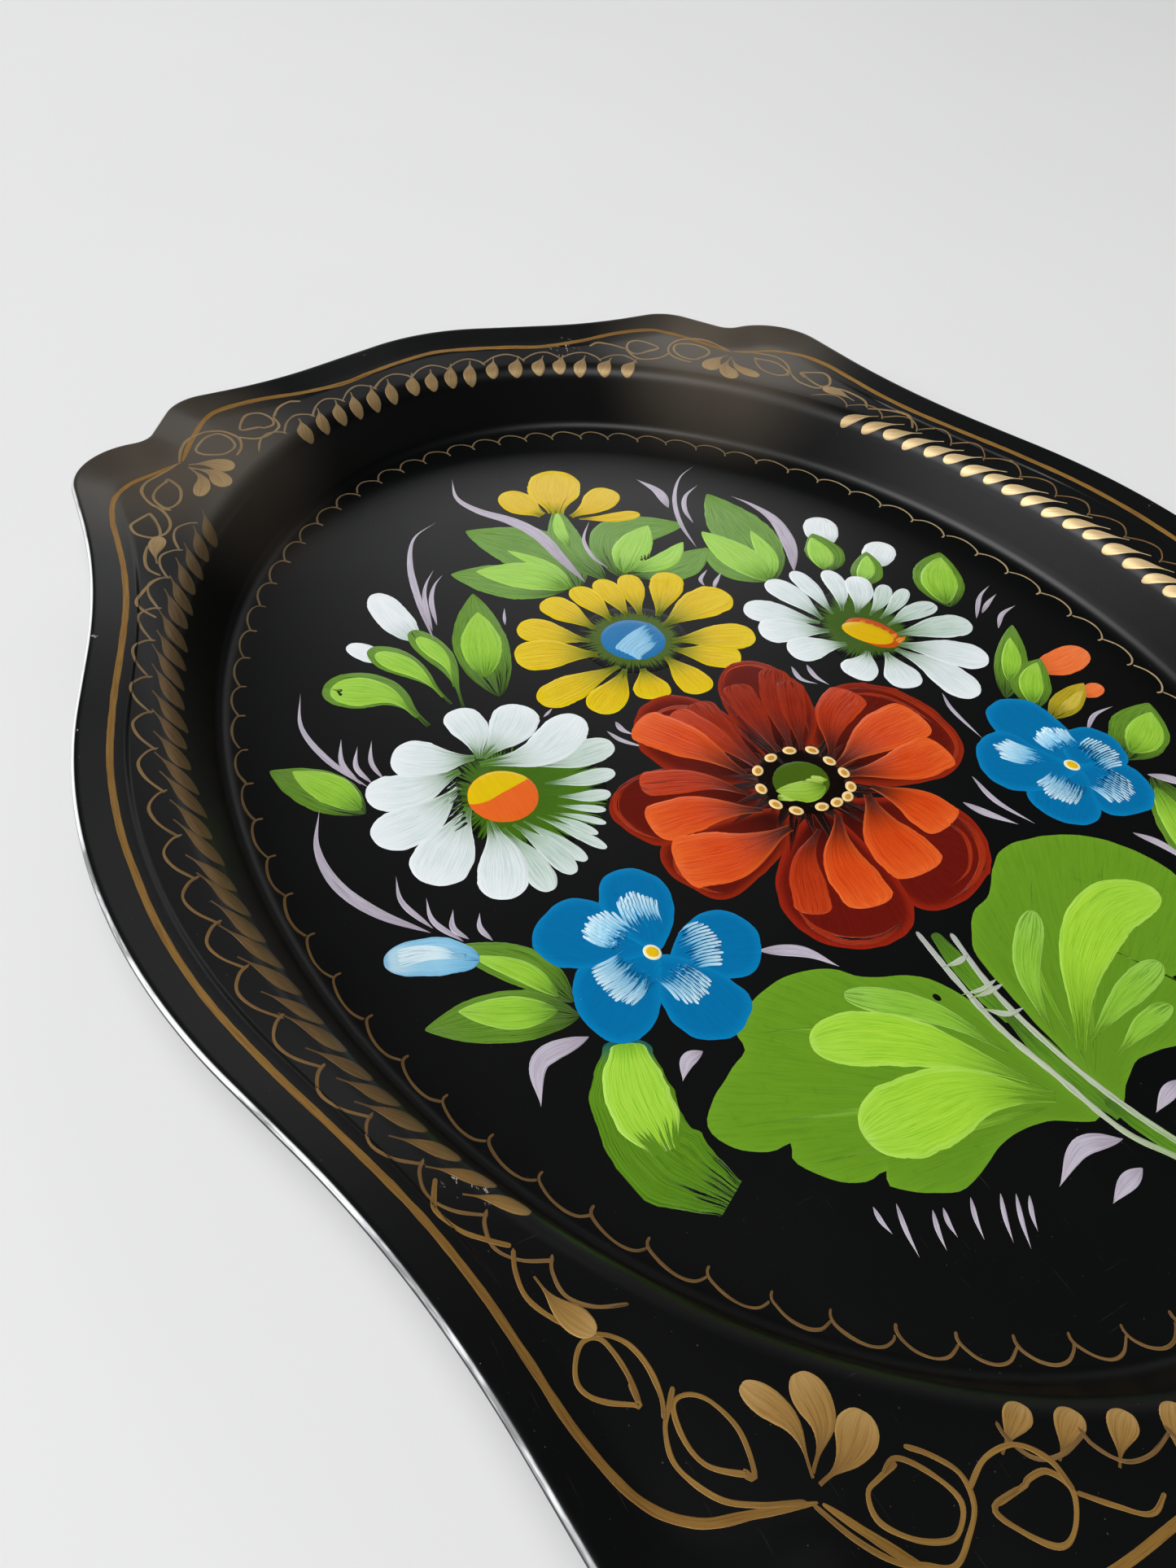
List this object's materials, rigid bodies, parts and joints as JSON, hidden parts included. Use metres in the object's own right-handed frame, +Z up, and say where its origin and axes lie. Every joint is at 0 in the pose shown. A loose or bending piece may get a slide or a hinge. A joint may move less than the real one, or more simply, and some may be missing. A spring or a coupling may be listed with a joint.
{
  "type": "painted metal serving tray",
  "caption": "Oval-welled steel serving tray with a lobed flange, rolled wired edge and a hand-painted bouquet with gold border lines on gloss black lacquer.",
  "frame": {"origin": "middle of the flat underside, on the plane the tray rests on", "axes": "+X along the tray's long way, +Y across it, +Z up out of the well"},
  "size_m": [0.4604, 0.3642, 0.0276],
  "materials": {
    "black_lacquer": "gloss black lacquer baked on sheet steel, fine scratches and dust, bare chips on the rolled edge",
    "iron_wire": "plain drawn iron wire, sealed inside the rolled edge",
    "gold_paint": "thin hand-painted line of bronze-gold paint under clear varnish",
    "red_paint": "blended red oil strokes, dark at the root and orange at the lip, varnished",
    "yellow_paint": "yellow oil strokes over a darker ground, varnished",
    "white_paint": "cool white oil strokes thinning to the black at their tips, varnished",
    "blue_paint": "mid-blue oil strokes hatched with light blue, varnished",
    "orange_paint": "orange oil strokes, varnished",
    "green_paint": "green oil strokes with lime lights, varnished",
    "lilac_paint": "thin grey-lilac oil strokes, varnished"
  },
  "bodies": {
    "root": {"tray_pan": "black_lacquer", "rim_wire": "iron_wire", "gold_rim_line": "gold_paint", "gold_scallop_line": "gold_paint", "red_poppy": "red_paint", "yellow_aster": "yellow_paint", "upper_daisy": "white_paint", "lower_daisy": "white_paint", "upper_blue_flower": "blue_paint", "lower_blue_flower": "blue_paint", "side_yellow_flower": "yellow_paint", "upper_white_buds": "white_paint", "lower_white_buds": "white_paint", "orange_buds": "orange_paint", "light_blue_bud": "blue_paint", "paired_big_leaf": "green_paint", "upper_leaves": "green_paint", "middle_leaves": "green_paint", "lower_leaves": "green_paint", "lilac_curls": "lilac_paint"}
  },
  "joints": []
}
